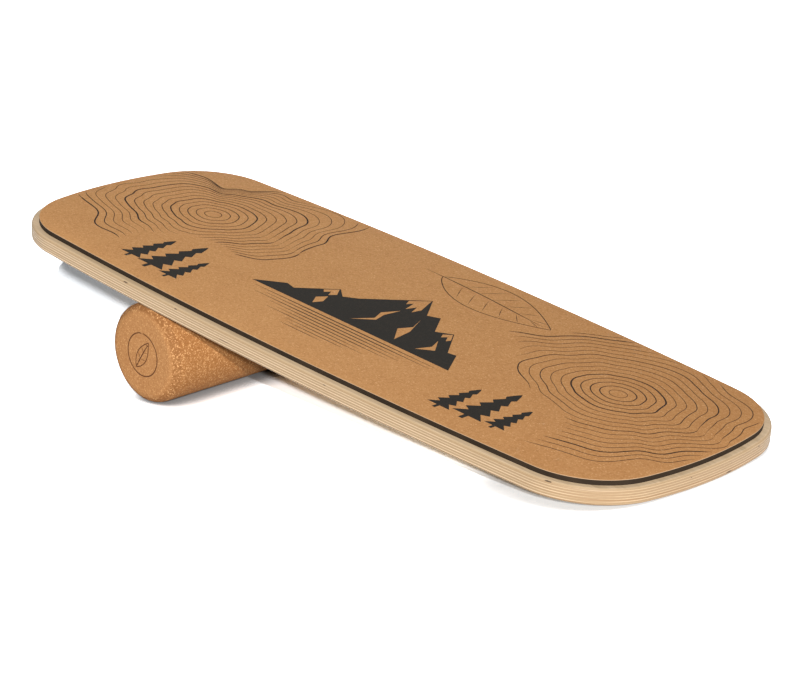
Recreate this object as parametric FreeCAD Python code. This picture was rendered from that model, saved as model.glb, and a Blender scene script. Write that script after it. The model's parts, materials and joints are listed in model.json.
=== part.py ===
import FreeCAD, Part

import math
import os

from FreeCAD import Placement, Rotation, Vector

# A balance board and its roller, in millimetres, standing as it is put down: the deck leans on
# the roller with its +X end on the floor. The deck is built flat, lengthwise along X, with the
# underside of its plywood at Z = 0, and is then tilted onto the roller. In the finished part Z = 0
# is the floor and the origin is the middle of the footprint.

# Plywood board
deck_length = 800.0
deck_width = 300.0
end_radius = 400.0
side_radius = 4870.0
corner_radius = 84.0
veneer_thickness = 1.2
veneer_count = 13
edge_rounding = 2.8

# Standing surface
pad_inset = 7.2
foam_thickness = 4.2
cork_thickness = 0.8
cork_edge_rounding = 0.4

# Roller
roller_diameter = 96.0
roller_length = 294.0
roller_rim_rounding = 11.0
roller_place = -160.0

# Stopper battens under the board
stopper_length = 200.0
stopper_width = 20.0
stopper_height = 12.0
stopper_end_distance = 100.0
stopper_rounding = 2.0

# Countersunk wood screws through the stoppers
screw_length = 20.0
screw_diameter = 3.5
screw_tip_length = 4.0
screw_head_diameter = 7.0
screw_head_height = 2.2
screw_spacing = 80.0
screws_per_stopper = 3
recess_width = 3.6
recess_slot = 0.8
recess_depth = 1.4

# Clearances
roller_gap = 0.3
screw_side_gap = 0.05
screw_end_gap = 0.5
screw_head_sink = 0.5
cut_overrun = 5.0

# Sizes that follow
deck_thickness = veneer_thickness * veneer_count
pad_thickness = foam_thickness + cork_thickness
roller_radius = roller_diameter / 2
screw_radius = screw_diameter / 2
screw_head_radius = screw_head_diameter / 2
stopper_centre = deck_length / 2 - stopper_end_distance - stopper_width / 2
screw_head_z = -stopper_height + screw_head_sink


def resting_tilt():
    """Tilt, in radians, at which the board touches the roller and its low end touches the floor.

    The underside's plane runs from the rounded low edge to the roller. With t the tangent of half
    the tilt, the two contacts give near * t^2 + run * t - far = 0.
    """
    run = deck_length / 2 - edge_rounding - roller_place
    near = edge_rounding + roller_gap / 2
    far = roller_radius + roller_gap / 2
    half = (-run + math.sqrt(run**2 + 4 * near * far)) / (2 * near)
    return 2 * math.atan(half)


def tangent_outline(inset, z):
    """Closed outline of the deck at a height, drawn in from the board's own edge by inset.

    Each quarter is half an end arc, a corner arc that is tangent to both, and half a side arc.
    """
    end_r = end_radius - inset
    side_r = side_radius - inset
    corner_r = corner_radius - inset
    end_x = deck_length / 2 - end_radius
    side_y = deck_width / 2 - side_radius

    # The corner's centre lies at known distances from the centres of the two arcs it joins.
    to_end = end_r - corner_r
    to_side = side_r - corner_r
    apart = math.hypot(end_x, side_y)
    along = (to_side**2 - to_end**2 + apart**2) / (2 * apart)
    across = math.sqrt(to_side**2 - along**2)
    ux, uy = end_x / apart, -side_y / apart
    corner = Vector(ux * along + uy * across, side_y + uy * along - ux * across, 0)

    def touch(centre, radius):
        """Point where the corner arc meets the arc about centre, and the corner's direction there."""
        away = (corner - centre).normalize()
        return centre + away * radius, away

    end_centre = Vector(end_x, 0, 0)
    side_centre = Vector(0, side_y, 0)
    end_touch, end_way = touch(end_centre, end_r)
    side_touch, side_way = touch(side_centre, side_r)
    corner_mid = corner + (end_way + side_way).normalize() * corner_r

    def turned(point, mirror_x, mirror_y):
        """Point carried into another quarter of the outline, at the outline's height."""
        return Vector(mirror_x * point.x, mirror_y * point.y, z)

    edges = []
    for mirror_x, mirror_y in ((1, 1), (-1, 1), (-1, -1), (1, -1)):
        start, middle, stop = (
            turned(p, mirror_x, mirror_y) for p in (end_touch, corner_mid, side_touch)
        )
        edges.append(Part.Arc(start, middle, stop).toShape())
    side_mid = Vector(0, deck_width / 2 - inset, 0)
    for mirror_y in (1, -1):
        start, stop = (turned(side_touch, mirror_x, mirror_y) for mirror_x in (1, -1))
        edges.append(Part.Arc(start, turned(side_mid, 1, mirror_y), stop).toShape())
    end_mid = Vector(deck_length / 2 - inset, 0, 0)
    for mirror_x in (1, -1):
        start, stop = (turned(end_touch, mirror_x, mirror_y) for mirror_y in (1, -1))
        edges.append(Part.Arc(start, turned(end_mid, mirror_x, 1), stop).toShape())
    return Part.Wire(Part.__sortEdges__(edges))


def slab(inset, low, high):
    """Flat sheet with the deck's outline, between two heights."""
    face = Part.Face(tangent_outline(inset, low))
    return face.extrude(Vector(0, 0, high - low))


def rim_edges(shape, z):
    """Edges of a shape that lie wholly at one height."""
    tolerance = 1e-6
    return [
        edge
        for edge in shape.Edges
        if abs(edge.BoundBox.ZMin - z) < tolerance and abs(edge.BoundBox.ZMax - z) < tolerance
    ]


def screw_places(side):
    """Centre points of one stopper's screws, where side is -1 at the left end and 1 at the right."""
    middle = (screws_per_stopper - 1) / 2
    return [
        Vector(side * stopper_centre, (i - middle) * screw_spacing, 0)
        for i in range(screws_per_stopper)
    ]


def screw_profile(grow_side, grow_end):
    """Screw body about its own axis, head down, grown by the clearances to cut its hole."""
    head = screw_head_radius + grow_side
    shank = screw_radius + grow_side
    top = screw_head_z + screw_length + grow_end
    neck = screw_head_z + screw_head_height
    shoulder = top - screw_tip_length
    points = [
        Vector(0, 0, screw_head_z),
        Vector(head, 0, screw_head_z),
        Vector(shank, 0, neck),
        Vector(shank, 0, shoulder),
        Vector(0, 0, top),
    ]
    face = Part.Face(Part.makePolygon(points + points[:1]))
    return face.revolve(Vector(0, 0, 0), Vector(0, 0, 1), 360)


def screw_hole(place):
    """Countersunk hole for one screw, open below the stopper."""
    hole = screw_profile(screw_side_gap, screw_end_gap)
    mouth = Part.makeCylinder(
        screw_head_radius + screw_side_gap,
        cut_overrun,
        Vector(0, 0, screw_head_z - cut_overrun),
    )
    hole = hole.fuse(mouth)
    hole.translate(place)
    return hole


def screw(place):
    """Countersunk wood screw with a cross recess in its head."""
    body = screw_profile(0, 0)
    for length, width in ((recess_width, recess_slot), (recess_slot, recess_width)):
        corner = Vector(-length / 2, -width / 2, screw_head_z)
        body = body.cut(Part.makeBox(length, width, recess_depth, corner))
    body.translate(place)
    return body


def stopper(side):
    """Hardwood batten across the underside, with its lower edges rounded over."""
    corner = Vector(
        side * stopper_centre - stopper_width / 2, -stopper_length / 2, -stopper_height
    )
    batten = Part.makeBox(stopper_width, stopper_length, stopper_height, corner)
    batten = batten.makeFillet(stopper_rounding, rim_edges(batten, -stopper_height))
    for place in screw_places(side):
        batten = batten.cut(screw_hole(place))
    return batten


def plywood():
    """Whole board with both rims rounded over and the screw holes drilled from below."""
    board = slab(0, 0, deck_thickness)
    board = board.makeFillet(edge_rounding, rim_edges(board, 0) + rim_edges(board, deck_thickness))
    for side in (-1, 1):
        for place in screw_places(side):
            board = board.cut(screw_hole(place))
    return board


def veneer_names():
    """Names of the plies from the bottom up: faces, lengthwise cores and crosswise bands."""
    names = []
    for i in range(veneer_count):
        if i == 0:
            names.append("face_veneer_bottom")
        elif i == veneer_count - 1:
            names.append("face_veneer_top")
        elif i % 2:
            names.append(f"cross_veneer_{(i + 1) // 2}")
        else:
            names.append(f"core_veneer_{i // 2}")
    return names


def veneers():
    """The board sliced into its plies, which lie glued face to face."""
    board = plywood()
    plies = {}
    for i, name in enumerate(veneer_names()):
        corner = Vector(
            -deck_length / 2 - cut_overrun, -deck_width / 2 - cut_overrun, i * veneer_thickness
        )
        layer = Part.makeBox(
            deck_length + 2 * cut_overrun, deck_width + 2 * cut_overrun, veneer_thickness, corner
        )
        plies[name] = board.common(layer)
    return plies


def foam_pad():
    """Soft underlay of the standing surface, glued on the top veneer."""
    return slab(pad_inset, deck_thickness, deck_thickness + foam_thickness)


def cork_sheet():
    """Thin cork sheet on the underlay, with its upper edge just broken."""
    top = deck_thickness + pad_thickness
    sheet = slab(pad_inset, deck_thickness + foam_thickness, top)
    return sheet.makeFillet(cork_edge_rounding, rim_edges(sheet, top))


def roller():
    """Solid cork roller with rounded rims, lying across under the board."""
    centre_z = -roller_radius - roller_gap
    base = Vector(roller_place, -roller_length / 2, centre_z)
    log = Part.makeCylinder(roller_radius, roller_length, base, Vector(0, 1, 0))
    rims = [edge for edge in log.Edges if edge.Closed and edge.BoundBox.YLength < 1e-6]
    return log.makeFillet(roller_rim_rounding, rims)


def roller_stop():
    """Place of the roller along the deck when its side comes up against a stopper."""
    inner_face = stopper_centre - stopper_width / 2
    reach = roller_radius + stopper_rounding + roller_gap
    drop = roller_radius + roller_gap - stopper_height + stopper_rounding
    return inner_face + stopper_rounding - math.sqrt(reach**2 - drop**2)


def placed_on_floor():
    """Placement that tilts the flat deck onto its roller, floor at Z = 0, footprint centred."""
    tilt = resting_tilt()
    x = -deck_thickness / 2 * math.sin(tilt)
    z = (
        edge_rounding
        + (deck_length / 2 - edge_rounding) * math.sin(tilt)
        - edge_rounding * math.cos(tilt)
    )
    return Placement(Vector(x, 0, z), Rotation(Vector(0, 1, 0), math.degrees(tilt)))


def build():
    """All pieces of the object by name, in the deck's own frame."""
    pieces = veneers()
    pieces["foam_underlay"] = foam_pad()
    pieces["cork_deck_sheet"] = cork_sheet()
    for side, end in ((-1, "left"), (1, "right")):
        pieces[f"stopper_{end}"] = stopper(side)
        pieces[f"stopper_screws_{end}"] = Part.makeCompound(
            [screw(place) for place in screw_places(side)]
        )
    pieces["cork_roller"] = roller()
    return pieces


def main():
    """Write one file per piece and print the sizes that describe the joint and the faces."""
    os.makedirs("parts", exist_ok=True)
    place = placed_on_floor()
    tilt = resting_tilt()
    for name, shape in build().items():
        shape.Placement = place.multiply(shape.Placement)
        shape.exportStep(f"parts/{name}.step")
        print(name, "solids", len(shape.Solids), "volume", round(shape.Volume, 1), shape.isValid())
    top = place.multVec(Vector(0, 0, deck_thickness + pad_thickness))
    stop = roller_stop()
    print("tilt", round(math.degrees(tilt), 4), "degrees")
    print("slide axis", [round(v, 6) for v in (math.cos(tilt), 0, -math.sin(tilt))])
    print("deck top", [round(v, 4) for v in top])
    print("deck normal", [round(v, 6) for v in (math.sin(tilt), 0, math.cos(tilt))])
    print("roller travel", round(-stop - roller_place, 3), round(stop - roller_place, 3))


main()
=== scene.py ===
"""Looks of a balance board and its cork roller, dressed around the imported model.

Every size is in metres. The board's pieces are shaped flat, lengthwise along X with the underside
of the plywood at Z = 0, and are then laid onto the roller by the matrix that Lie.matrix() gives.
"""

import json
import logging
import math
import random
from dataclasses import dataclass, field
from enum import Enum
from typing import Callable, Sequence

import bmesh
import bpy
from mathutils import Matrix, Vector, noise


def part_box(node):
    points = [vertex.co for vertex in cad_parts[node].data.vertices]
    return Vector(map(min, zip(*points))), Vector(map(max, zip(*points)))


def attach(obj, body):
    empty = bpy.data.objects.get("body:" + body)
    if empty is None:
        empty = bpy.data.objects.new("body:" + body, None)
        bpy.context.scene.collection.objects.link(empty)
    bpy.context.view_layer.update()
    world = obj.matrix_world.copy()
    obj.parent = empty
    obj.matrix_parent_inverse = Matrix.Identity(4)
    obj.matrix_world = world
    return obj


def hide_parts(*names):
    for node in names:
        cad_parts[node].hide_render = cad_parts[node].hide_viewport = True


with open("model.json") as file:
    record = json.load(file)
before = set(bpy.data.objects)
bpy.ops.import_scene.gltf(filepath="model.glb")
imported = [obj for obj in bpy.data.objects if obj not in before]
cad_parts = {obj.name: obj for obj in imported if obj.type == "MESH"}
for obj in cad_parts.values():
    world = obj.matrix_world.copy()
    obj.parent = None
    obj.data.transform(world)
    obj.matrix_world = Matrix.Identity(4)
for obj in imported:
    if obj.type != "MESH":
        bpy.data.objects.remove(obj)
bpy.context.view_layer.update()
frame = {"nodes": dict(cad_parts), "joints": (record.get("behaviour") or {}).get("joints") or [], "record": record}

logging.basicConfig(level=logging.INFO, format="%(message)s")
log = logging.getLogger("balance_board")

MM = 0.001
Colour = tuple[float, float, float]
Point = tuple[float, float]
Stroke = list[Point]


def srgb(red: int, green: int, blue: int) -> Colour:
    """Linear colour of an 8-bit screen colour.

    Args:
        red: Red, 0 to 255.
        green: Green, 0 to 255.
        blue: Blue, 0 to 255.

    Returns:
        The three linear values, 0 to 1.
    """
    def linear(value: int) -> float:
        share = value / 255
        return share / 12.92 if share <= 0.04045 else ((share + 0.055) / 1.055) ** 2.4

    return linear(red), linear(green), linear(blue)


class Socket:
    """An output of a shader node that takes part in Python arithmetic."""

    def __init__(self, shader: "Shader", output: bpy.types.NodeSocket) -> None:
        """Wrap one output socket of a node in a shader."""
        self.shader = shader
        self.output = output

    def _math(self, operation: str, first: object, second: object) -> "Socket":
        """Add one Math node on two operands and return its value."""
        return self.shader.node("Math", {"operation": operation}, {0: first, 1: second})

    def __add__(self, other: object) -> "Socket":
        """Sum of the two values."""
        return self._math("ADD", self, other)

    def __sub__(self, other: object) -> "Socket":
        """Difference of the two values."""
        return self._math("SUBTRACT", self, other)

    def __rsub__(self, other: object) -> "Socket":
        """Difference with this value taken away."""
        return self._math("SUBTRACT", other, self)

    def __mul__(self, other: object) -> "Socket":
        """Product of the two values."""
        return self._math("MULTIPLY", self, other)

    def __truediv__(self, other: object) -> "Socket":
        """Quotient of the two values."""
        return self._math("DIVIDE", self, other)

    def __mod__(self, other: object) -> "Socket":
        """Remainder that is never negative."""
        return self._math("FLOORED_MODULO", self, other)

    def __abs__(self) -> "Socket":
        """Size of the value without its sign."""
        return self._math("ABSOLUTE", self, 0.0)

    __radd__ = __add__
    __rmul__ = __mul__

    def most(self, other: object) -> "Socket":
        """The larger of the two values."""
        return self._math("MAXIMUM", self, other)

    def step(self, low: float, high: float) -> "Socket":
        """Smooth rise from 0 to 1 between two values of this socket.

        Args:
            low: Value at which the result leaves 0.
            high: Value at which the result reaches 1; below low, the result falls instead.

        Returns:
            The eased value, held between 0 and 1.
        """
        return self.shader.node(
            "MapRange",
            {"interpolation_type": "SMOOTHSTEP"},
            {"Value": self, "From Min": low, "From Max": high},
        )


class Shader:
    """One material under construction, with its nodes."""

    def __init__(self, name: str) -> None:
        """Start a material that holds only a principled surface."""
        self.material = bpy.data.materials.new(name)
        self.material.use_nodes = True
        self.tree = self.material.node_tree
        self.surface = self.tree.nodes["Principled BSDF"]
        self.output = self.tree.nodes["Material Output"]

    def node(
        self, kind: str, settings: dict[str, object], inputs: dict[object, object], out: object = 0
    ) -> Socket:
        """Add a node.

        Args:
            kind: Blender's node type without its ShaderNode prefix.
            settings: Values of the node's own properties, set first.
            inputs: Input name or number to a value or a Socket.
            out: Name or number of the output to return.

        Returns:
            The wanted output.
        """
        made = self.tree.nodes.new("ShaderNode" + kind)
        for name, value in settings.items():
            setattr(made, name, value)
        for key, value in inputs.items():
            self.feed(made.inputs[key], value)
        return Socket(self, made.outputs[out])

    def feed(self, target: bpy.types.NodeSocket, value: object) -> None:
        """Link a Socket to an input, or set the input to a plain value."""
        if isinstance(value, Socket):
            self.tree.links.new(value.output, target)
        elif isinstance(value, tuple) and target.type == "RGBA":
            target.default_value = (*value, 1.0)
        else:
            target.default_value = value

    def coordinates(self) -> Socket:
        """Place in the part's frame, in metres."""
        return self.node("TexCoord", {}, {}, "Object")

    def noise(self, place: Socket, size: float, detail: float = 2.0, out: str = "Factor") -> Socket:
        """Soft noise whose features are about size metres across."""
        settings = {"noise_dimensions": "3D"}
        inputs = {"Vector": place, "Scale": 1 / size, "Detail": detail, "Roughness": 0.55}
        names = {"Factor": 0, "Color": 1}
        return self.node("TexNoise", settings, inputs, names[out])

    def cells(self, place: Socket, size: float, out: str, feature: str = "F1") -> Socket:
        """Voronoi cells about size metres across."""
        inputs = {"Vector": place, "Scale": 1 / size}
        return self.node("TexVoronoi", {"feature": feature}, inputs, out)

    def part(self, vector: Socket, out: str) -> Socket:
        """One of X, Y and Z of a vector."""
        return self.node("SeparateXYZ", {}, {"Vector": vector}, out)

    def stretch(self, place: Socket, scale: Colour, shift: Colour = (0.0, 0.0, 0.0)) -> Socket:
        """The place with each axis multiplied, then moved."""
        scaled = self.node(
            "VectorMath", {"operation": "MULTIPLY"}, {0: place, 1: scale}
        )
        return self.node("VectorMath", {"operation": "ADD"}, {0: scaled, 1: shift})

    def mix(self, share: object, first: object, second: object, how: str = "MIX") -> Socket:
        """Blend of two colours; share 0 gives the first."""
        return self.node(
            "Mix",
            {"data_type": "RGBA", "blend_type": how},
            {"Factor": share, 6: first, 7: second},
            2,
        )

    def bump(self, height: Socket, depth: float) -> Socket:
        """Surface normal of a relief whose height 0 to 1 stands for depth metres."""
        return self.node("Bump", {}, {"Strength": 1.0, "Distance": depth, "Height": height})

    def finish(self, **sockets: object) -> bpy.types.Material:
        """Feed the surface's inputs, spaces written as underscores, and return the material."""
        for name, value in sockets.items():
            self.feed(self.surface.inputs[name.replace("_", " ")], value)
        return self.material


def deselect() -> None:
    """Leave edit mode and deselect every object."""
    if bpy.context.object and bpy.context.object.mode != "OBJECT":
        bpy.ops.object.mode_set(mode="OBJECT")
    bpy.ops.object.select_all(action="DESELECT")


def take(thing: bpy.types.Object) -> None:
    """Make one object the only selected and active one."""
    deselect()
    thing.select_set(True)
    bpy.context.view_layer.objects.active = thing


def select(test: Callable[[bmesh.types.BMFace | bmesh.types.BMEdge], bool], kind: str) -> None:
    """Select what passes a test in the mesh under edit, and nothing else.

    Args:
        test: Says whether a face or an edge is wanted.
        kind: "FACE" or "EDGE".
    """
    bpy.ops.mesh.select_mode(type=kind)
    bpy.ops.mesh.select_all(action="DESELECT")
    shape = bmesh.from_edit_mesh(bpy.context.object.data)
    for element in shape.faces if kind == "FACE" else shape.edges:
        if test(element):
            element.select_set(True)
    shape.select_flush_mode()
    bmesh.update_edit_mesh(bpy.context.object.data)


def copied(source: bpy.types.Object, name: str) -> bpy.types.Object:
    """Copy of an object with a mesh of its own, made the active one."""
    thing = source.copy()
    thing.data = source.data.copy()
    thing.name = name
    thing.data.name = name
    bpy.context.scene.collection.objects.link(thing)
    take(thing)
    return thing


def settled(thing: bpy.types.Object, place: Matrix, smooth: float = 40.0) -> bpy.types.Object:
    """Move a finished piece by its mesh, so that its object stays at the origin, and smooth it.

    Args:
        thing: The piece.
        place: Where it goes.
        smooth: Angle in degrees under which two faces shade as one.

    Returns:
        The same piece.
    """
    take(thing)
    thing.matrix_world = place
    bpy.ops.object.transform_apply(location=True, rotation=True, scale=True)
    bpy.ops.object.shade_smooth_by_angle(angle=math.radians(smooth), keep_sharp_edges=False)
    return thing


def dressed(
    thing: bpy.types.Object, body: str, slot: str, material: bpy.types.Material, *nodes: str
) -> None:
    """Give a new piece its material and body, and let it stand for CAD nodes.

    Args:
        thing: The piece.
        body: Body that it moves with.
        slot: Not used.
        material: Its finish.
        nodes: CAD nodes that it replaces.
    """
    thing.data.materials.clear()
    thing.data.materials.append(material)
    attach(thing, body)
    if nodes:
        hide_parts(*nodes)
    log.info("%s: %d faces on %s", thing.name, len(thing.data.polygons), body)


class Body(Enum):
    """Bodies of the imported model."""

    DECK = "deck"
    ROLLER = "roller"


class Grain(Enum):
    """Way in which a veneer's grain runs."""

    LENGTHWISE = "lengthwise"
    CROSSWISE = "crosswise"
    FACE = "face"


@dataclass(frozen=True)
class Lie:
    """How the flat board lies on its roller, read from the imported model."""

    deck_top: Vector
    along: Vector
    normal: Vector
    height: float

    @classmethod
    def of_frame(cls, height: float) -> "Lie":
        """Read the tilt from the slide's axis and the standing surface's mount.

        Args:
            height: Height of the standing surface over the plywood's underside.

        Returns:
            The board's lie.
        """
        mount = frame["record"]["mounts"][0]
        joint = frame["joints"][0]
        top, along, normal = (Vector(v) for v in (mount["pos_m"], joint["axis"], mount["axis"]))
        return cls(top, along.normalized(), normal.normalized(), height)

    def matrix(self) -> Matrix:
        """Matrix from the flat board's frame to the part's frame."""
        across = self.normal.cross(self.along)
        turn = Matrix((self.along, across, self.normal)).transposed().to_4x4()
        return Matrix.Translation(self.deck_top - self.normal * self.height) @ turn

    def upright(self, shader: Shader, facing: Socket) -> Socket:
        """Size of the part of a direction that stands on the board."""
        inputs = {0: facing, 1: tuple(self.normal)}
        return abs(shader.node("VectorMath", {"operation": "DOT_PRODUCT"}, inputs, "Value"))

    def flat(self, shader: Shader) -> Socket:
        """Place in the flat board's frame, for patterns that follow the board."""
        back = self.matrix().inverted()
        return shader.node(
            "Mapping",
            {"vector_type": "POINT"},
            {
                "Vector": shader.coordinates(),
                "Location": tuple(back.to_translation()),
                "Rotation": tuple(back.to_euler()),
            },
        )


@dataclass(frozen=True)
class CorkFinish:
    """Pressed cork granules.

    A roller is lighter on its flat ends and carries painted shade on its rounded rims. A sheet
    carries painted shade toward the board's low end (far), and has its own tones on its cut edge and
    at the glue line under it.
    """

    name: str
    base: Colour
    pale: Colour
    dark: Colour
    granule: float
    contrast: float
    speckle: float
    relief: float
    end: Colour | None = None
    end_calm: float = 0.35
    # painted shade tone for the roller's rounded rims
    rim: Colour = (0.0, 0.0, 0.0)
    # painted shade tone for the sheet toward the board's low end
    far: Colour = (0.0, 0.0, 0.0)
    cut: Colour = (0.0, 0.0, 0.0)
    glue: Colour = (0.0, 0.0, 0.0)

    def material(self, lie: Lie | None = None) -> bpy.types.Material:
        """Granules in two sizes, pale and dark specks, and a relief between them.

        Args:
            lie: How the board lies, for a sheet on it; left out for the roller.

        Returns:
            The material.
        """
        shader = Shader(self.name)
        place = shader.coordinates()
        wander = shader.noise(place, self.granule * 1.6, 2.0, "Color")
        bent = shader.node(
            "VectorMath",
            {"operation": "MULTIPLY_ADD"},
            {0: wander, 1: (self.granule * 0.9,) * 3, 2: place},
        )
        tone = shader.part(shader.cells(bent, self.granule, "Color"), "X")
        fine = shader.part(shader.cells(bent, self.granule * 0.45, "Color"), "Y")
        crumb = shader.noise(place, self.granule * 0.16, 3.0)
        cloud = shader.noise(place, self.granule * 22, 2.0)
        seam = shader.cells(bent, self.granule, "Distance", "DISTANCE_TO_EDGE").step(0.10, 0.0)
        base, strength = self.base, self.contrast
        if self.end is not None:
            facing_end = abs(shader.part(shader.node("TexCoord", {}, {}, "Normal"), "Y"))
            end_on = facing_end.step(0.80, 0.99)
            # painted shade: the roller's rounded rims are darkened toward the rim tone
            base = shader.mix(facing_end.step(0.05, 0.45), self.base, self.rim)
            base = shader.mix(end_on, base, self.end)
            strength = (1.0 - end_on * self.end_calm) * self.contrast
        if lie is not None:
            along = shader.part(place, "X")
            # painted shade: the sheet darkens toward the board's low end (+X)
            base = shader.mix(along.step(-0.10, 0.45), self.base, self.far)

        value = tone * 0.50 + fine * 0.30 + crumb * 0.45 + cloud * 0.35
        light = value.step(0.80, 1.18) * strength * 0.6
        deep = value.step(0.78, 0.42) * strength
        colour = shader.mix(light, base, self.pale)
        colour = shader.mix(deep, colour, self.dark)
        colour = shader.mix(seam * 0.45 * strength, colour, self.dark)

        chips = shader.cells(bent, self.granule * 0.62, "Color")
        pale_chip = shader.part(chips, "X").step(1.0 - self.speckle, 1.02 - self.speckle)
        rare = 1.0 - self.speckle * 0.4
        dark_chip = shader.part(chips, "Z").step(rare, rare + 0.02)
        colour = shader.mix(pale_chip * 1.5 * strength, colour, self.pale)
        colour = shader.mix(dark_chip * 0.90 * strength, colour, self.dark)

        if lie is not None:
            facing = shader.node("TexCoord", {}, {}, "Normal")
            on_edge = lie.upright(shader, facing).step(0.98, 0.75)
            depth = lie.height - shader.part(lie.flat(shader), "Z")
            cut = shader.mix(depth.step(0.28 * MM, 0.38 * MM), self.cut, self.glue)
            colour = shader.mix(on_edge, colour, cut)

        height = (1.0 - seam) * 0.55 + crumb * 0.30 + fine * 0.15
        rough = 0.72 + crumb * 0.2
        return shader.finish(
            Base_Color=colour,
            Roughness=rough,
            Normal=shader.bump(height, self.relief),
            Specular_IOR_Level=0.12,
        )


@dataclass(frozen=True)
class Mark:
    """Small dark gap or knot in the board's edge, as a soft ellipsoid in the flat board's frame."""

    centre: Colour
    reach: Colour
    colour: Colour = srgb(58, 40, 26)

    def mask(self, shader: Shader, place: Socket) -> Socket:
        """1 inside the mark and 0 outside, with a ragged rim."""
        scale = tuple(1 / r for r in self.reach)
        shift = tuple(-c / r for c, r in zip(self.centre, self.reach))
        inputs = {0: shader.stretch(place, scale, shift)}
        far = shader.node("VectorMath", {"operation": "LENGTH"}, inputs, "Value")
        ragged = shader.noise(place, 1.1 * MM, 2.0)
        return (far + ragged * 0.9).step(1.5, 1.0)


@dataclass(frozen=True)
class BirchFinish:
    """Birch veneer, seen on its face, along its grain and across it."""

    name: str
    grain: Grain
    face: Colour
    along: Colour
    across: Colour
    glue: Colour
    veneer: float
    marks: tuple[Mark, ...] = ()

    def material(self, lie: Lie) -> bpy.types.Material:
        """Figure on the flat faces, long streaks or end grain on the edge, dark glue lines.

        Args:
            lie: How the board lies.

        Returns:
            The material of every veneer with this grain.
        """
        shader = Shader(self.name)
        place = lie.flat(shader)
        crosswise = self.grain is Grain.CROSSWISE
        side = "X" if crosswise else "Y"
        long_scale = (1.0, 0.035, 1.0) if crosswise else (0.035, 1.0, 1.0)

        fibres = shader.noise(shader.stretch(place, long_scale), 0.5 * MM, 4.0)
        streaks = shader.noise(shader.stretch(place, long_scale), 3.2 * MM, 2.0)
        rings_bend = shader.noise(shader.stretch(place, (0.10, 1.0, 0.4)), 70 * MM, 2.0)
        rings = abs((shader.part(place, side) * 30.0 + rings_bend * 4.0) % 1.0 - 0.5) * 2.0
        patch = shader.noise(shader.stretch(place, (1.0, 1.0, 24.0)), 55 * MM, 2.0)
        height = shader.part(place, "Z")
        number = shader.node("Math", {"operation": "FLOOR"}, {0: (height - 0.01 * MM) / self.veneer})
        own = shader.node("TexWhiteNoise", {"noise_dimensions": "1D"}, {"W": number}, "Value")
        pores = shader.noise(place, 0.28 * MM, 2.0)

        flat_tone = rings * 0.18 + streaks * 0.55 + fibres * 0.40
        face_colour = shader.mix(flat_tone.step(0.25, 0.95), self.face, self.along)
        face_colour = shader.mix(fibres.step(0.42, 0.28) * 0.45, face_colour, self.across)

        edge_tone = streaks * 0.45 + patch * 0.35 + own * 0.30
        long_colour = shader.mix(edge_tone.step(0.75, 0.35) * 0.6, self.along, self.face)
        long_colour = shader.mix(fibres.step(0.40, 0.26) * 0.5, long_colour, self.across)
        end_tone = patch * 0.4 + pores * 0.3 + own * 0.5
        end_colour = shader.mix(end_tone.step(0.30, 0.95) * 0.75, self.across, self.face)
        end_colour = shader.mix(pores.step(0.42, 0.26) * 0.5, end_colour, self.glue)

        facing = shader.node("TexCoord", {}, {}, "Normal")
        grain_way = (0.0, 1.0, 0.0) if crosswise else tuple(lie.along)
        inputs = {0: facing, 1: grain_way}
        along_grain = shader.node("VectorMath", {"operation": "DOT_PRODUCT"}, inputs, "Value")
        end_on = abs(along_grain).step(0.35, 0.85)
        upright = lie.upright(shader, facing).step(0.80, 0.97)
        colour = shader.mix(end_on, long_colour, end_colour)
        # painted shade: toward the top the edge moves toward the face colour, most on the face veneers
        painted_top_shade = 0.85 if self.grain is Grain.FACE else 0.45
        colour = shader.mix(height.step(6 * MM, 15 * MM) * painted_top_shade, colour, self.face)
        # painted shade at the lower rounding of the edge
        colour = shader.mix(height.step(1.8 * MM, 0.4 * MM) * 0.7, colour, self.across)
        # painted shade toward the board's low end (+X)
        colour = shader.mix(shader.part(place, "X").step(0.22, 0.40) * 0.30, colour, self.across)
        colour = shader.mix(upright, colour, face_colour)

        layer = (height / self.veneer) % 1.0
        to_glue = 0.5 - abs(layer - 0.5)
        glue_line = to_glue.step(0.13, 0.03) * (1.0 - upright)
        colour = shader.mix(glue_line * 0.70, colour, self.glue)

        for mark in self.marks:
            colour = shader.mix(mark.mask(shader, place) * 0.9, colour, mark.colour)
        relief = fibres * 0.5 + pores * 0.3 - glue_line * 0.5
        return shader.finish(
            Base_Color=colour,
            Roughness=0.42 + fibres * 0.22,
            Normal=shader.bump(relief, 0.06 * MM),
            Specular_IOR_Level=0.4,
        )


@dataclass(frozen=True)
class FoamFinish:
    """Closed-cell foam, matt black with fine cells."""

    name: str
    base: Colour
    worn: Colour

    def material(self) -> bpy.types.Material:
        """Fine cells and a faint brown bloom."""
        shader = Shader(self.name)
        place = shader.coordinates()
        cells = shader.cells(place, 0.5 * MM, "Distance")
        bloom = shader.noise(place, 26 * MM, 3.0)
        colour = shader.mix(bloom.step(0.35, 0.75) * 0.7, self.base, self.worn)
        colour = shader.mix(cells.step(0.30, 0.60) * 0.25, colour, self.worn)
        return shader.finish(
            Base_Color=colour,
            Roughness=0.82 + bloom * 0.12,
            Normal=shader.bump(cells, 0.12 * MM),
            Specular_IOR_Level=0.12,
        )


@dataclass(frozen=True)
class InkFinish:
    """Ink or scorch that has sunk into cork."""

    name: str
    base: Colour
    thin: Colour
    granule: float

    def material(self) -> bpy.types.Material:
        """Dark cover that thins over the cork's granules."""
        shader = Shader(self.name)
        place = shader.coordinates()
        tone = shader.part(shader.cells(place, self.granule, "Color"), "X")
        crumb = shader.noise(place, self.granule * 0.3, 3.0)
        cover = (tone * 0.6 + crumb * 0.6).step(0.72, 1.02)
        colour = shader.mix(cover * 0.55, self.base, self.thin)
        return shader.finish(
            Base_Color=colour,
            Roughness=0.55 + crumb * 0.25,
            Normal=shader.bump(crumb, 0.05 * MM),
            Specular_IOR_Level=0.12,
        )


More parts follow.
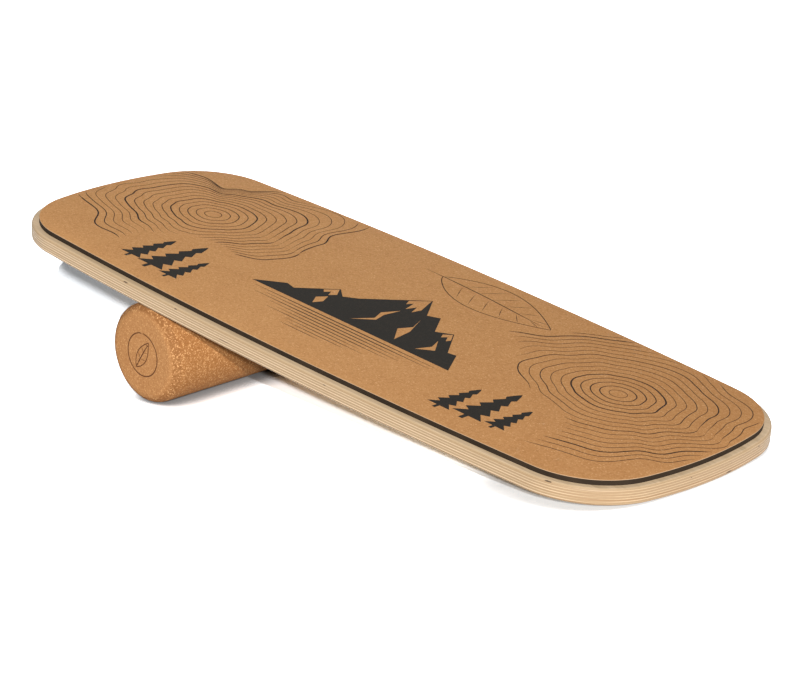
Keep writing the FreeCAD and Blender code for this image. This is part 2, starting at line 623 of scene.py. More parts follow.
@dataclass(frozen=True)
class BeechFinish:
    """Beech batten with its short dark flecks."""

    name: str
    base: Colour
    fleck: Colour
    pale: Colour

    def material(self, lie: Lie) -> bpy.types.Material:
        """Long soft figure along the batten with short flecks in it.

        Args:
            lie: How the board lies; the battens run across it.

        Returns:
            The battens' material.
        """
        shader = Shader(self.name)
        place = lie.flat(shader)
        figure = shader.noise(shader.stretch(place, (1.0, 0.05, 1.0)), 5 * MM, 3.0)
        fibres = shader.noise(shader.stretch(place, (1.0, 0.04, 1.0)), 0.6 * MM, 3.0)
        fleck = shader.cells(shader.stretch(place, (1.0, 0.28, 1.0)), 0.8 * MM, "Distance")
        colour = shader.mix(figure.step(0.35, 0.70), self.base, self.pale)
        colour = shader.mix(fleck.step(0.26, 0.12) * 0.6, colour, self.fleck)
        colour = shader.mix(fibres.step(0.42, 0.30) * 0.35, colour, self.fleck)
        return shader.finish(
            Base_Color=colour,
            Roughness=0.40 + fibres * 0.2,
            Normal=shader.bump(fibres, 0.05 * MM),
            Coat_Weight=0.15,
        )


@dataclass(frozen=True)
class SteelFinish:
    """Zinc-plated steel of the wood screws."""

    name: str
    base: Colour
    dull: Colour

    def material(self) -> bpy.types.Material:
        """Bright plating with dull clouds and fine turning marks."""
        shader = Shader(self.name)
        place = shader.coordinates()
        cloud = shader.noise(place, 2.5 * MM, 3.0)
        scuff = shader.noise(place, 0.25 * MM, 2.0)
        colour = shader.mix(cloud.step(0.35, 0.70), self.base, self.dull)
        return shader.finish(
            Base_Color=colour,
            Metallic=1.0,
            Roughness=0.28 + cloud * 0.2 + scuff * 0.1,
            Normal=shader.bump(scuff, 0.02 * MM),
        )


@dataclass
class Deck:
    """Sizes of the board that its layers share, and its outline.

    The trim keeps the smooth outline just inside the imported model's facets.
    """

    length: float = 800 * MM
    width: float = 300 * MM
    end_radius: float = 400 * MM
    side_radius: float = 4870 * MM
    corner_radius: float = 84 * MM
    veneer: float = 1.2 * MM
    veneer_count: int = 13
    rounding: float = 2.8 * MM
    pad_inset: float = 7.2 * MM
    trim: float = 0.1 * MM
    foam: float = 4.2 * MM
    cork: float = 0.8 * MM
    corner_centre: Point = (311 * MM, 56 * MM)
    side_steps: int = 56
    corner_steps: int = 26
    end_steps: int = 28

    @property
    def thickness(self) -> float:
        """Thickness of the plywood."""
        return self.veneer * self.veneer_count

    @property
    def top(self) -> float:
        """Height of the standing surface over the plywood's underside."""
        return self.thickness + self.foam + self.cork

    def outline(self, inset: float) -> Stroke:
        """Closed outline drawn in from the board's edge, anticlockwise from the middle of +X.

        Args:
            inset: Distance in from the board's edge.

        Returns:
            Points of the end, corner and side arcs, which are tangent to each other.
        """
        end_r = self.end_radius - inset
        side_r = self.side_radius - inset
        corner_r = self.corner_radius - inset
        end_x = self.length / 2 - self.end_radius
        side_y = self.width / 2 - self.side_radius
        apart = math.hypot(end_x, side_y)
        to_end, to_side = end_r - corner_r, side_r - corner_r
        rise = (to_side**2 - to_end**2 + apart**2) / (2 * apart)
        reach = math.sqrt(to_side**2 - rise**2)
        way_x, way_y = end_x / apart, -side_y / apart
        corner = Vector((way_x * rise + way_y * reach, side_y + way_y * rise - way_x * reach))
        end_turn = math.atan2(corner.y, corner.x - end_x)
        side_turn = math.atan2(corner.y - side_y, corner.x)

        def arc(centre: Point, radius: float, start: float, stop: float, steps: int) -> Stroke:
            """Points of an arc, without its last one."""
            turns = (start + (stop - start) * i / steps for i in range(steps))
            return [(centre[0] + radius * math.cos(t), centre[1] + radius * math.sin(t)) for t in turns]

        quarter = arc((end_x, 0), end_r, 0, end_turn, self.end_steps // 2)
        quarter += arc(tuple(corner), corner_r, end_turn, side_turn, self.corner_steps)
        quarter += arc((0, side_y), side_r, side_turn, math.pi / 2, self.side_steps // 2)
        top_mid = [(0.0, self.width / 2 - inset)]
        left = [(-x, y) for x, y in reversed(quarter)]
        upper = quarter + top_mid + left
        lower = [(x, -y) for x, y in reversed(upper[1:-1])]
        return upper + lower

    def holds(self, x: float, y: float, inset: float) -> bool:
        """Whether a point lies on the deck, at least inset inside its edge."""
        end_x = self.length / 2 - self.end_radius
        half = self.side_radius - inset
        if (abs(x) - end_x) ** 2 + y**2 > (self.end_radius - inset) ** 2:
            return False
        if x**2 + (abs(y) + self.side_radius - self.width / 2) ** 2 > half**2:
            return False
        corner_x, corner_y = self.corner_centre
        beyond = abs(x) > corner_x and abs(y) > corner_y
        gap = math.hypot(abs(x) - corner_x, abs(y) - corner_y)
        return not beyond or gap < self.corner_radius - inset

    def slab(self, name: str, inset: float, low: float, high: float) -> bpy.types.Object:
        """Flat sheet with the deck's outline between two heights.

        Args:
            name: Name of the piece.
            inset: Distance in from the board's edge.
            low: Height of its underside.
            high: Height of its top.

        Returns:
            The sheet, flat, in edit mode.
        """
        points = self.outline(inset + self.trim)
        deselect()
        bpy.ops.mesh.primitive_circle_add(
            vertices=len(points), radius=self.length / 2, location=(0, 0, 0), fill_type="NOTHING"
        )
        thing = bpy.context.object
        thing.name = thing.data.name = name
        for vertex, (x, y) in zip(thing.data.vertices, points):
            vertex.co = (x, y, low)
        bpy.ops.object.mode_set(mode="EDIT")
        bpy.ops.mesh.select_all(action="SELECT")
        bpy.ops.mesh.edge_face_add()
        bpy.ops.mesh.extrude_region_move(TRANSFORM_OT_translate={"value": (0, 0, high - low)})
        bpy.ops.mesh.select_all(action="SELECT")
        bpy.ops.mesh.normals_make_consistent(inside=False)
        return thing


def rim(height: float) -> Callable[[bmesh.types.BMEdge], bool]:
    """Test for the edges that lie at one height."""
    tolerance = 1e-6
    return lambda edge: all(abs(v.co.z - height) < tolerance for v in edge.verts)


@dataclass
class Plywood:
    """The board: birch veneers glued with their grain crosswise in turn."""

    deck: Deck
    lie: Lie
    rounding_steps: int = 7
    glue_groove: float = 0.05 * MM
    face: Colour = srgb(171, 146, 113)
    pale: Colour = srgb(209, 183, 150)
    tan: Colour = srgb(148, 117, 82)
    glue: Colour = srgb(90, 62, 36)
    marks: tuple[Mark, ...] = (
        Mark((-0.190, -0.146, 0.0144), (0.0040, 0.006, 0.0006)),
        Mark((-0.115, -0.149, 0.0139), (0.0022, 0.006, 0.0005)),
        Mark((-0.046, -0.150, 0.0067), (0.0085, 0.006, 0.0005), srgb(96, 72, 50)),
        Mark((0.085, -0.149, 0.0117), (0.0024, 0.006, 0.0005)),
        Mark((0.3367, -0.1350, 0.0148), (0.0040, 0.003, 0.0006)),
        Mark((0.3983, -0.0268, 0.0120), (0.0040, 0.0012, 0.0007), srgb(96, 72, 50)),
        Mark((0.3993, 0.0237, 0.0030), (0.0040, 0.0042, 0.0010)),
        Mark((0.3937, 0.0689, 0.0120), (0.0040, 0.0016, 0.0010), srgb(112, 94, 72)),
    )

    def names(self) -> list[tuple[str, Grain]]:
        """Node name and grain of each veneer from the bottom up."""
        rows: list[tuple[str, Grain]] = []
        last = self.deck.veneer_count - 1
        for i in range(self.deck.veneer_count):
            if i in (0, last):
                rows.append(("face_veneer_top" if i else "face_veneer_bottom", Grain.FACE))
            elif i % 2:
                rows.append((f"cross_veneer_{(i + 1) // 2}", Grain.CROSSWISE))
            else:
                rows.append((f"core_veneer_{i // 2}", Grain.LENGTHWISE))
        return rows

    def board(self) -> bpy.types.Object:
        """Whole board with both rims rounded over."""
        thing = self.deck.slab("board", 0.0, 0.0, self.deck.thickness)
        low, high = rim(0.0), rim(self.deck.thickness)
        select(lambda edge: low(edge) or high(edge), "EDGE")
        bpy.ops.mesh.bevel(
            offset=self.deck.rounding, segments=self.rounding_steps, affect="EDGES", clamp_overlap=False
        )
        bpy.ops.object.mode_set(mode="OBJECT")
        return thing

    def sliced(self, board: bpy.types.Object, name: str, index: int) -> bpy.types.Object:
        """One veneer, cut from a copy of the board, with fine grooves at its glue lines.

        Args:
            board: The whole board.
            name: Name of the piece.
            index: Number of the veneer from the bottom.

        Returns:
            The veneer, flat.
        """
        thing = copied(board, name)
        bpy.ops.object.mode_set(mode="EDIT")
        cuts = []
        if index > 0:
            cuts.append((index * self.deck.veneer, False))
        if index < self.deck.veneer_count - 1:
            cuts.append(((index + 1) * self.deck.veneer, True))
        for height, above in cuts:
            bpy.ops.mesh.select_all(action="SELECT")
            bpy.ops.mesh.bisect(
                plane_co=(0, 0, height),
                plane_no=(0, 0, 1),
                use_fill=True,
                clear_outer=above,
                clear_inner=not above,
            )
            select(rim(height), "EDGE")
            bpy.ops.mesh.bevel(offset=self.glue_groove, segments=1, affect="EDGES")
        bpy.ops.object.mode_set(mode="OBJECT")
        return thing

    def finishes(self) -> dict[Grain, bpy.types.Material]:
        """One birch material for each way of the grain."""
        made = {}
        for grain in Grain:
            finish = BirchFinish(
                name=f"birch_{grain.value}",
                grain=grain,
                face=self.face,
                along=self.pale,
                across=self.tan,
                glue=self.glue,
                veneer=self.deck.veneer,
                marks=self.marks,
            )
            made[grain] = finish.material(self.lie)
        return made

    def build(self) -> None:
        """Slice the board into its veneers and dress them."""
        slots = {
            Grain.FACE: "birch_face",
            Grain.LENGTHWISE: "birch_long_grain",
            Grain.CROSSWISE: "birch_cross_grain",
        }
        materials = self.finishes()
        board = self.board()
        for i, (name, grain) in enumerate(self.names()):
            thing = self.sliced(board, f"{name}_ply", i)
            settled(thing, self.lie.matrix())
            dressed(thing, Body.DECK.value, slots[grain], materials[grain], name)
        bpy.data.objects.remove(board)


@dataclass
class StandingSurface:
    """Cork sheet on its black foam underlay."""

    deck: Deck
    lie: Lie
    cork_edge: float = 0.4 * MM
    foam_edge: float = 0.25 * MM
    cork_finish: CorkFinish = CorkFinish(
        name="deck_cork",
        base=srgb(194, 143, 92),
        pale=srgb(220, 173, 122),
        dark=srgb(150, 100, 58),
        granule=1.5 * MM,
        contrast=0.42,
        speckle=0.05,
        relief=0.05 * MM,
        # painted shade toward the board's low end
        far=srgb(181, 130, 81),
        cut=srgb(188, 158, 126),
        glue=srgb(60, 46, 34),
    )
    foam_finish: FoamFinish = FoamFinish("black_foam", srgb(36, 28, 20), srgb(54, 43, 32))

    def layer(self, name: str, low: float, high: float, edge: float, steps: int) -> bpy.types.Object:
        """One sheet of the pad with its upper rim softened.

        Args:
            name: Name of the piece.
            low: Height of its underside.
            high: Height of its top.
            edge: Radius of the softened rim.
            steps: Segments of the rim.

        Returns:
            The sheet, in place.
        """
        thing = self.deck.slab(name, self.deck.pad_inset, low, high)
        select(rim(high), "EDGE")
        bpy.ops.mesh.bevel(offset=edge, segments=steps, affect="EDGES")
        bpy.ops.object.mode_set(mode="OBJECT")
        return settled(thing, self.lie.matrix())

    def build(self) -> None:
        """Make and dress the two sheets."""
        middle = self.deck.thickness + self.deck.foam
        foam = self.layer("foam_layer", self.deck.thickness, middle, self.foam_edge, 2)
        dressed(foam, Body.DECK.value, "black_foam", self.foam_finish.material(), "foam_underlay")
        cork = self.layer("cork_layer", middle, self.deck.top, self.cork_edge, 4)
        dressed(cork, Body.DECK.value, "deck_cork", self.cork_finish.material(self.lie), "cork_deck_sheet")


def ribbon(points: Stroke, widths: Sequence[float]) -> Stroke:
    """Outline of a stroke whose width changes along it.

    Args:
        points: Middle line of the stroke.
        widths: Full width at each point.

    Returns:
        Closed outline, up one side and down the other.
    """
    left: Stroke = []
    right: Stroke = []
    last = len(points) - 1
    for i, (x, y) in enumerate(points):
        before, after = points[max(i - 1, 0)], points[min(i + 1, last)]
        way = Vector((after[0] - before[0], after[1] - before[1])).normalized()
        half = widths[i] / 2
        left.append((x - way.y * half, y + way.x * half))
        right.append((x + way.y * half, y - way.x * half))
    return left + right[::-1]


@dataclass
class Print:
    """Thin printed or scorched shapes: closed outlines with holes, lifted just off a surface."""

    name: str
    lift: float = 0.02 * MM
    thickness: float = 0.03 * MM
    outlines: list[Stroke] = field(default_factory=list)

    def add(self, outline: Stroke) -> None:
        """Add a closed outline; one inside another makes a hole."""
        self.outlines.append(outline)

    def line(self, points: Stroke, width: float, taper: float = 0.25) -> None:
        """Add an open stroke that thins towards both ends.

        Args:
            points: Middle line of the stroke.
            width: Full width in the middle.
            taper: Share of the stroke over which each end thins.
        """
        if len(points) < 3:
            return
        last = len(points) - 1
        shares = (min(i, last - i) / max(1.0, last * taper) for i in range(len(points)))
        self.add(ribbon(points, [width * (0.16 + 0.84 * min(1.0, s)) for s in shares]))

    def ring(self, points: Stroke, width: float) -> None:
        """Add a closed line as an outer and an inner outline."""
        count = len(points)
        for side in (1, -1):
            loop: Stroke = []
            for i, (x, y) in enumerate(points):
                before, after = points[i - 1], points[(i + 1) % count]
                way = Vector((after[0] - before[0], after[1] - before[1])).normalized()
                loop.append((x + way.y * side * width / 2, y - way.x * side * width / 2))
            self.add(loop)

    def build(self, place: Matrix) -> bpy.types.Object:
        """Fill the outlines, make them a mesh and put it on its surface.

        Args:
            place: Matrix from the drawing's plane to the part's frame.

        Returns:
            The print as one thin mesh.
        """
        curve = bpy.data.curves.new(self.name, "CURVE")
        curve.dimensions = "2D"
        curve.fill_mode = "BOTH"
        curve.extrude = self.thickness / 2
        for outline in self.outlines:
            spline = curve.splines.new("POLY")
            spline.points.add(len(outline) - 1)
            for point, (x, y) in zip(spline.points, outline):
                point.co = (x, y, 0.0, 1.0)
            spline.use_cyclic_u = True
        thing = bpy.data.objects.new(self.name, curve)
        bpy.context.scene.collection.objects.link(thing)
        take(thing)
        bpy.ops.object.convert(target="MESH")
        thing = bpy.context.object
        up = Matrix.Translation((0, 0, self.lift + self.thickness / 2))
        return settled(thing, place @ up, 20.0)


def contour(centre: Point, radius: float, share: float, seed: float, steps: int) -> Stroke:
    """One height line of a hill on a map.

    Args:
        centre: Top of the hill.
        radius: Mean radius of the line.
        share: How far out the line lies, 0 at the top and 1 at the foot; outer lines wander more.
        seed: Place in the noise that shapes the hill.
        steps: Points of the line.

    Returns:
        Closed line round the hill.
    """
    points: Stroke = []
    for i in range(steps):
        turn = 2 * math.pi * i / steps
        way = Vector((math.cos(turn), math.sin(turn)))
        wander = noise.noise(Vector((way.x * 1.1, way.y * 1.1, seed + share * 0.35)))
        ripple = noise.noise(Vector((way.x * 3.0, way.y * 3.0, seed + 7 + share * 0.8)))
        reach = radius * (1 + share * (0.42 * wander + 0.16 * ripple))
        points.append((centre[0] + way.x * reach * 1.25, centre[1] + way.y * reach))
    return points


@dataclass
class DeckPrint:
    """A plain landscape on the cork: hill contours, a dark ridge with snow, firs and a leaf.

    A clear space is an ellipse, as the place of its middle and its two half widths. A hilltop has its
    place, its number of height lines, the gap between them and its seed. A fir has its foot's place
    and its height.
    """

    deck: Deck
    lie: Lie
    margin: float = 3 * MM
    clear: tuple[tuple[float, float, float, float], ...] = (
        (-0.202, -0.080, 0.066, 0.060),
        (0.216, -0.080, 0.066, 0.060),
        (0.011, -0.020, 0.156, 0.100),
        (0.055, 0.098, 0.090, 0.040),
    )
    shortest_run: int = 12
    hilltops: tuple[tuple[Point, int, float, float], ...] = (
        ((-0.268, 0.030), 15, 7.6 * MM, 3.1),
        ((0.262, 0.036), 17, 7.0 * MM, 14.1),
    )
    fir_feet: tuple[tuple[float, float, float], ...] = (
        (-0.232, -0.112, 0.064), (-0.201, -0.116, 0.082), (-0.171, -0.117, 0.058),
        (0.186, -0.117, 0.060), (0.215, -0.114, 0.078), (0.244, -0.108, 0.054),
    )
    fir_tiers: int = 5
    ridge_foot: float = -0.052
    strokes: int = 9
    stroke_gap: float = 5.2 * MM
    leaf_centre: Point = (0.055, 0.098)
    leaf_length: float = 0.150
    leaf_turn: float = math.radians(-4)
    leaf_line: float = 0.95 * MM
    ink: InkFinish = InkFinish("print_ink", srgb(24, 21, 16), srgb(54, 43, 32), 1.1 * MM)
    fine_ink: InkFinish = InkFinish("print_fine_ink", srgb(34, 20, 10), srgb(72, 47, 27), 1.1 * MM)

    def clipped(self, points: Stroke) -> list[Stroke]:
        """Stretches of a closed line that lie on the deck."""
        runs: list[Stroke] = []
        current: Stroke = []
        for x, y in points + points[:1]:
            taken = any(
                math.hypot((x - mid_x) / half_x, (y - mid_y) / half_y) < 1
                for mid_x, mid_y, half_x, half_y in self.clear
            )
            if not taken and self.deck.holds(x, y, self.deck.pad_inset + self.margin):
                current.append((x, y))
            elif current:
                runs.append(current)
                current = []
        if current:
            runs.append(current)
        return [run for run in runs if len(run) > self.shortest_run]

    def hills(self) -> Print:
        """Two hills as height lines that run off the deck's edges."""
        drawing = Print("print_contours")
        draw = random.Random(11)
        for centre, count, gap, seed in self.hilltops:
            for i in range(1, count + 1):
                line = contour(centre, gap * i, i / count, seed, 90 + 8 * i)
                width = draw.uniform(0.6, 1.1) * MM * (1.7 if i % 5 == 0 else 1.0)
                runs = self.clipped(line)
                if len(runs) == 1 and len(runs[0]) > len(line):
                    drawing.ring(line, width)
                else:
                    for run in runs:
                        drawing.line(run, width, 0.08)
        return drawing

    def ridge(self) -> Print:
        """A solid ridge of three peaks with snow on them, over a few straight strokes."""
        drawing = Print("print_ridge")
        base = self.ridge_foot
        left, right = -0.118, 0.140
        peaks = (
            (left, 0.0), (-0.092, 0.021), (-0.080, 0.018), (-0.052, 0.052), (-0.038, 0.041),
            (-0.026, 0.050), (0.018, 0.104), (0.040, 0.074), (0.052, 0.080), (0.071, 0.053),
            (0.086, 0.063), (0.112, 0.028), (0.121, 0.030), (right, 0.0),
        )
        drawing.add([(x, base + y) for x, y in peaks])
        caps = (
            ((0.018, 0.104), (0.0035, 0.087), (0.008, 0.079), (0.012, 0.086), (0.017, 0.070),
             (0.021, 0.082), (0.027, 0.069), (0.029, 0.080), (0.032, 0.074)),
            ((-0.052, 0.052), (-0.062, 0.040), (-0.057, 0.036), (-0.053, 0.042), (-0.048, 0.034),
             (-0.043, 0.041)),
            ((0.086, 0.063), (0.079, 0.056), (0.083, 0.050), (0.087, 0.055), (0.093, 0.047),
             (0.095, 0.052)),
        )
        for cap in caps:
            top_x = cap[0][0]
            shrink = [(top_x + (x - top_x) * 0.9, base + y - 1.6 * MM) for x, y in cap]
            drawing.add(shrink)
        spurs = (
            ((0.018, 0.062), (0.010, 0.044), (0.016, 0.030), (0.004, 0.010), (0.020, 0.028),
             (0.016, 0.042)),
            ((0.044, 0.062), (0.052, 0.044), (0.046, 0.030), (0.062, 0.010), (0.058, 0.034)),
            ((-0.046, 0.030), (-0.052, 0.020), (-0.044, 0.008), (-0.040, 0.018)),
            ((0.088, 0.040), (0.094, 0.026), (0.088, 0.010), (0.102, 0.022)),
        )
        for spur in spurs:
            drawing.add([(x, base + y) for x, y in spur])
        for i in range(self.strokes):
            y = base - 6 * MM - i * self.stroke_gap
            reach = 0.118 * (1 - i / 10.5)
            middle = 0.011 + 0.012 * math.sin(2.2 * i)
            steps = 24
            stroke = [(middle + reach * (2 * k / steps - 1), y) for k in range(steps + 1)]
            drawing.line(stroke, (1.5 - 0.09 * i) * MM, 0.3)
        return drawing

    def firs(self) -> Print:
        """A row of solid firs of uneven height."""
        drawing = Print("print_firs")
        tiers = self.fir_tiers
        for x, foot, tall in self.fir_feet:
            side: Stroke = [(0.030, 0.0), (0.030, 0.10)]
            for i in range(tiers):
                low, high = 0.10 + 0.90 * i / tiers, 0.10 + 0.90 * (i + 0.72) / tiers
                side.append((0.22 * (1 - 0.80 * i / tiers), low))
                side.append((0.09 * (1 - 0.86 * i / tiers), high))
            side.append((0.0, 1.0))
            mirrored = [(-a, b) for a, b in reversed(side[:-1])]
            drawing.add([(x + a * tall, foot + b * tall) for a, b in side + mirrored])
        return drawing

    def leaf(self) -> Print:
        """A fine leaf in outline with its veins."""
        drawing = Print("print_leaf")
        drawing.outlines = leaf_outlines(
            self.leaf_centre, self.leaf_length, self.leaf_turn, self.leaf_line
        )
        return drawing

    def build(self) -> None:
        """Make and dress the four drawings."""
        place = self.lie.matrix() @ Matrix.Translation((0, 0, self.deck.top))
        solid, fine = self.ink.material(), self.fine_ink.material()
        for drawing, material in (
            (self.hills(), fine), (self.ridge(), solid), (self.firs(), solid), (self.leaf(), fine)
        ):
            dressed(drawing.build(place), Body.DECK.value, "black_foam", material)


def leaf_outlines(
    centre: Point, length: float, turn: float, width: float, pairs: int = 6
) -> list[Stroke]:
    """Outlines of a simple pointed leaf: its rim, its midrib and its pairs of veins.

    Args:
        centre: Middle of the leaf.
        length: Its length.
        turn: Angle of its midrib, in radians.
        width: Width of the lines.
        pairs: Number of pairs of veins.

    Returns:
        Closed outlines for a print.
    """
    drawing = Print("leaf")
    steps = 40

    def placed(along: float, across: float) -> Point:
        """Point of the leaf, along and across in its lengths."""
        x, y = along * length, across * length
        return (
            centre[0] + x * math.cos(turn) - y * math.sin(turn),
            centre[1] + x * math.sin(turn) + y * math.cos(turn),
        )

    def half(share: float) -> float:
        """Half width of the leaf at a share of its length."""
        return 0.20 * math.sin(math.pi * share**0.86) ** 0.92

    edge = [placed(i / steps - 0.5, half(i / steps)) for i in range(steps)]
    edge += [placed(0.5 - i / steps, -half(1 - i / steps)) for i in range(steps)]
    drawing.ring(edge, width)
    drawing.line([placed(-0.66 + 1.10 * i / 12, 0.012 * math.sin(i / 3)) for i in range(13)], width * 1.3)
    for i in range(1, pairs + 1):
        share = 0.08 + 0.75 * i / pairs
        reach = half(min(share + 0.09, 0.97)) * 0.86
        for side in (1, -1):
            vein = [
                placed(share - 0.5 + 0.10 * k / 6, side * (0.012 + (reach - 0.012) * (k / 6) ** 0.9))
                for k in range(7)
            ]
            drawing.line(vein, width * 0.8, 0.5)
    return drawing.outlines


@dataclass
class Roller:
    """Solid roller of coarse pressed cork."""

    radius: float = 48 * MM
    length: float = 294 * MM
    rim: float = 11 * MM
    rim_steps: int = 10
    around: int = 256
    lengthwise: int = 170
    dent: float = 0.12 * MM
    dent_size: float = 3.6 * MM
    end_insets: tuple[float, ...] = (0.12, 0.16, 0.2, 0.24, 0.28)
    mark_ring: float = 21 * MM
    mark_leaf: float = 33 * MM
    mark_turn: float = math.radians(52)
    mark_line: float = 1.0 * MM
    mark_thickness: float = 0.10 * MM
    finish: CorkFinish = CorkFinish(
        name="roller_cork",
        base=srgb(149, 101, 57),
        pale=srgb(202, 153, 102),
        dark=srgb(126, 78, 42),
        granule=1.5 * MM,
        contrast=0.50,
        speckle=0.14,
        relief=0.10 * MM,
        end=srgb(162, 115, 71),
        # painted shade on the rounded rims
        rim=srgb(130, 87, 49),
    )
    scorch: InkFinish = InkFinish("scorch", srgb(78, 44, 22), srgb(122, 76, 42), 1.4 * MM)

    def centre(self) -> Vector:
        """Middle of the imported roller."""
        low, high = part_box("cork_roller")
        return (low + high) / 2

    def log(self) -> bpy.types.Object:
        """Cylinder lying across, with rounded rims, fine enough to take the granules' relief."""
        deselect()
        bpy.ops.mesh.primitive_cylinder_add(
            vertices=self.around,
            radius=self.radius,
            depth=self.length,
            end_fill_type="NGON",
            rotation=(math.pi / 2, 0, 0),
        )
        thing = bpy.context.object
        thing.name = thing.data.name = "roller_log"
        bpy.ops.object.transform_apply(rotation=True)
        bpy.ops.object.mode_set(mode="EDIT")
        half = self.length / 2
        for side in (-half, half):
            select(lambda e: all(abs(v.co.y - side) < 1e-6 for v in e.verts), "EDGE")
            bpy.ops.mesh.bevel(offset=self.rim, segments=self.rim_steps, affect="EDGES")
        select(lambda e: abs(e.verts[0].co.y - e.verts[1].co.y) > self.length / 2, "EDGE")
        bpy.ops.mesh.subdivide(number_cuts=self.lengthwise)
        ring = self.radius - self.rim
        select(lambda f: len(f.verts) == self.around, "FACE")
        for share in self.end_insets:
            bpy.ops.mesh.inset(thickness=ring * share, use_individual=True)
            ring *= 1 - share
        bpy.ops.object.mode_set(mode="OBJECT")
        return thing

    def roughened(self, thing: bpy.types.Object) -> None:
        """Press shallow dents of granule size into the surface, never outwards."""
        moved = []
        for vertex in thing.data.vertices:
            place = vertex.co / self.dent_size
            near, second = noise.voronoi(place)[0][:2]
            seam = max(0.0, 1 - (second - near) / 0.35)
            lump = 0.5 + 0.5 * noise.noise(place * 0.6)
            moved.append(vertex.co - vertex.normal * self.dent * (0.6 * seam + 0.4 * lump))
        for vertex, place in zip(thing.data.vertices, moved):
            vertex.co = place
        thing.data.update()

    def mark(self) -> bpy.types.Object:
        """Small plain leaf in a ring, scorched into the near end."""
        drawing = Print("roller_mark", lift=0.0, thickness=self.mark_thickness)
        drawing.outlines = leaf_outlines((0.0, 0.0), self.mark_leaf, self.mark_turn, self.mark_line, 3)
        steps = 72
        turns = [2 * math.pi * i / steps for i in range(steps)]
        circle = [(self.mark_ring * math.cos(t), self.mark_ring * math.sin(t)) for t in turns]
        drawing.ring(circle, self.mark_line * 1.2)
        face = self.centre() + Vector((0, -self.length / 2, 0))
        stand = Matrix.Translation(face) @ Matrix.Rotation(math.pi / 2, 4, "X")
        inwards = Matrix.Translation((0, 0, -self.dent))
        return drawing.build(stand @ inwards)

    def build(self) -> None:
        """Make and dress the roller and its mark."""
        thing = self.log()
        self.roughened(thing)
        settled(thing, Matrix.Translation(self.centre()), 60.0)
        dressed(thing, Body.ROLLER.value, "roller_cork", self.finish.material(), "cork_roller")
        dressed(self.mark(), Body.ROLLER.value, "roller_cork", self.scorch.material())


@dataclass
class Stoppers:
    """Battens and screws under the board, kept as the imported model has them."""

    lie: Lie
    beech: BeechFinish = BeechFinish(
        "stopper_beech", srgb(205, 164, 118), srgb(146, 96, 56), srgb(222, 187, 144)
    )
    steel: SteelFinish = SteelFinish("zinc_screw", srgb(205, 203, 192), srgb(160, 158, 148))

    def build(self) -> None:
        """Dress the two battens and their screws."""
        wood, metal = self.beech.material(self.lie), self.steel.material()
        for end in ("left", "right"):
            for node, material in ((f"stopper_{end}", wood), (f"stopper_screws_{end}", metal)):
                thing = frame["nodes"][node]
                thing.data.materials.clear()
                thing.data.materials.append(material)
                log.info("%s: packed mesh dressed", node)


@dataclass(frozen=True)
class Lamp:
    """Distant softbox; the angles are in degrees."""

    name: str
    azimuth: float
    elevation: float
    spread: float
    strength: float

    def build(self) -> None:
        """Hang the lamp."""
        turn, rise = math.radians(self.azimuth), math.radians(self.elevation)
        level = math.cos(rise)
        way = Vector((math.cos(turn) * level, math.sin(turn) * level, math.sin(rise)))
        data = bpy.data.lights.new(self.name, "SUN")
        data.angle = math.radians(self.spread)
        data.energy = self.strength
        thing = bpy.data.objects.new(self.name, data)
        bpy.context.scene.collection.objects.link(thing)
        thing.location = way * 6
        thing.rotation_euler = way.to_track_quat("Z", "Y").to_euler()


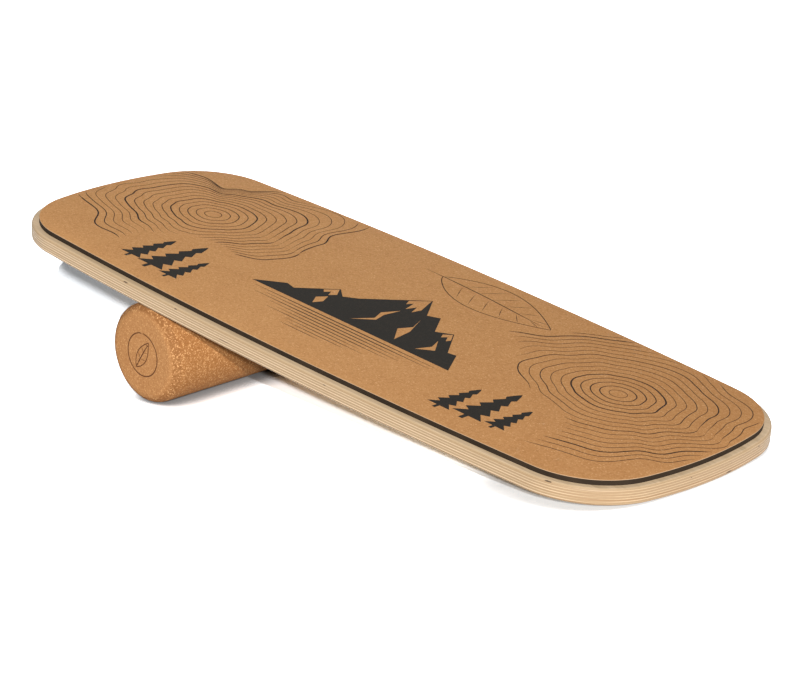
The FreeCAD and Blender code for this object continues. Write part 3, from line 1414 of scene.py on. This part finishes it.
@dataclass
class Studio:
    """Pale floor, soft light and the camera of the photograph.

    The floor's three levels are what the light meets, the shade beside the roller and what the camera
    sees. Contact is how far that shade reaches.
    """

    floor_size: float = 60.0
    camera_at: Vector = Vector((1.8012, -1.7077, 0.7636))
    look_at: Vector = Vector((0.0498, -0.0218, 0.07))
    roll: float = math.radians(-2.785)
    lens: float = 125.41
    sensor: float = 36.0
    lamps: tuple[Lamp, ...] = (
        Lamp("key", azimuth=-40.0, elevation=17.6, spread=1.5, strength=2.85),
        Lamp("upper_key", azimuth=-40.0, elevation=21.0, spread=0.5, strength=3.15),
        Lamp("back", azimuth=137.0, elevation=4.0, spread=7.0, strength=0.8),
    )
    sky: float = 0.088
    floor_seen: float = 2.7
    floor_bounce: float = 0.72
    floor_tint: Colour = (0.97, 1.0, 1.03)
    floor_shade: float = 0.30
    contact: float = 42 * MM

    def camera(self) -> None:
        """Camera at the photograph's place, with its small roll."""
        data = bpy.data.cameras.new("camera")
        data.lens = self.lens
        data.sensor_width = self.sensor
        thing = bpy.data.objects.new("camera", data)
        bpy.context.scene.collection.objects.link(thing)
        aim = (self.look_at - self.camera_at).to_track_quat("-Z", "Y").to_matrix().to_4x4()
        turn = Matrix.Rotation(self.roll, 4, "Z")
        thing.matrix_world = Matrix.Translation(self.camera_at) @ aim @ turn
        bpy.context.scene.camera = thing

    def floor(self) -> None:
        """Wide pale floor that shows white to the camera and keeps the shadow.

        It darkens near the roller, and less so where the board's low end comes down to it.
        """
        deselect()
        bpy.ops.mesh.primitive_plane_add(size=self.floor_size, location=(0, 0, 0))
        thing = bpy.context.object
        thing.name = "floor"
        shader = Shader("floor")
        # painted contact shade: ambient occlusion darkens the floor's colour near the roller, faded by place
        # toward the low end
        near = shader.node("AmbientOcclusion", {"samples": 8}, {"Distance": self.contact}, "AO")
        cloud = shader.noise(shader.coordinates(), 0.4, 2.0) * 0.01
        bounce, shade, seen = (
            tuple(level * share for share in self.floor_tint)
            for level in (self.floor_bounce, self.floor_shade, self.floor_seen)
        )
        low_end = shader.part(shader.coordinates(), "X").step(0.02, 0.16)
        clear = near.step(0.15, 0.80).most(low_end * 0.28)
        white = shader.mix(cloud, shader.mix(clear, shade, seen), bounce)
        colour = shader.mix(self.seen(shader), bounce, white)
        shader.finish(Base_Color=colour, Roughness=0.9, Specular_IOR_Level=0.0)
        thing.data.materials.append(shader.material)

    @staticmethod
    def seen(shader: Shader) -> Socket:
        """1 for rays that show the background: from the camera, a gloss or a see-through."""
        camera, glossy, through = (
            shader.node("LightPath", {}, {}, f"Is {kind} Ray")
            for kind in ("Camera", "Glossy", "Transmission")
        )
        return camera.most(glossy).most(through)

    def world(self) -> None:
        """Even white sky."""
        world = bpy.data.worlds.new("sky")
        world.use_nodes = True
        tree = world.node_tree
        background = tree.nodes["Background"]
        background.inputs["Color"].default_value = (1.0, 1.0, 1.0, 1.0)
        rays = tree.nodes.new("ShaderNodeLightPath").outputs
        shows = rays["Is Camera Ray"]
        for kind in ("Glossy", "Transmission"):
            either = tree.nodes.new("ShaderNodeMath")
            either.operation = "MAXIMUM"
            tree.links.new(shows, either.inputs[0])
            tree.links.new(rays[f"Is {kind} Ray"], either.inputs[1])
            shows = either.outputs[0]
        seen = tree.nodes.new("ShaderNodeMix")
        seen.inputs["A"].default_value = self.sky
        seen.inputs["B"].default_value = 1.0
        tree.links.new(shows, seen.inputs["Factor"])
        tree.links.new(seen.outputs["Result"], background.inputs["Strength"])
        bpy.context.scene.world = world

    def build(self) -> None:
        """Set up the stage."""
        self.camera()
        self.floor()
        for lamp in self.lamps:
            lamp.build()
        self.world()
        bpy.context.scene.view_settings.view_transform = "Standard"


def main() -> None:
    """Build and dress the board, its pad, its print, the roller and the stage."""
    deck = Deck()
    lie = Lie.of_frame(deck.top)
    for part in (
        Plywood(deck, lie),
        StandingSurface(deck, lie),
        DeckPrint(deck, lie),
        Roller(),
        Stoppers(lie),
        Studio(),
    ):
        part.build()


if __name__ == "__main__":
    main()
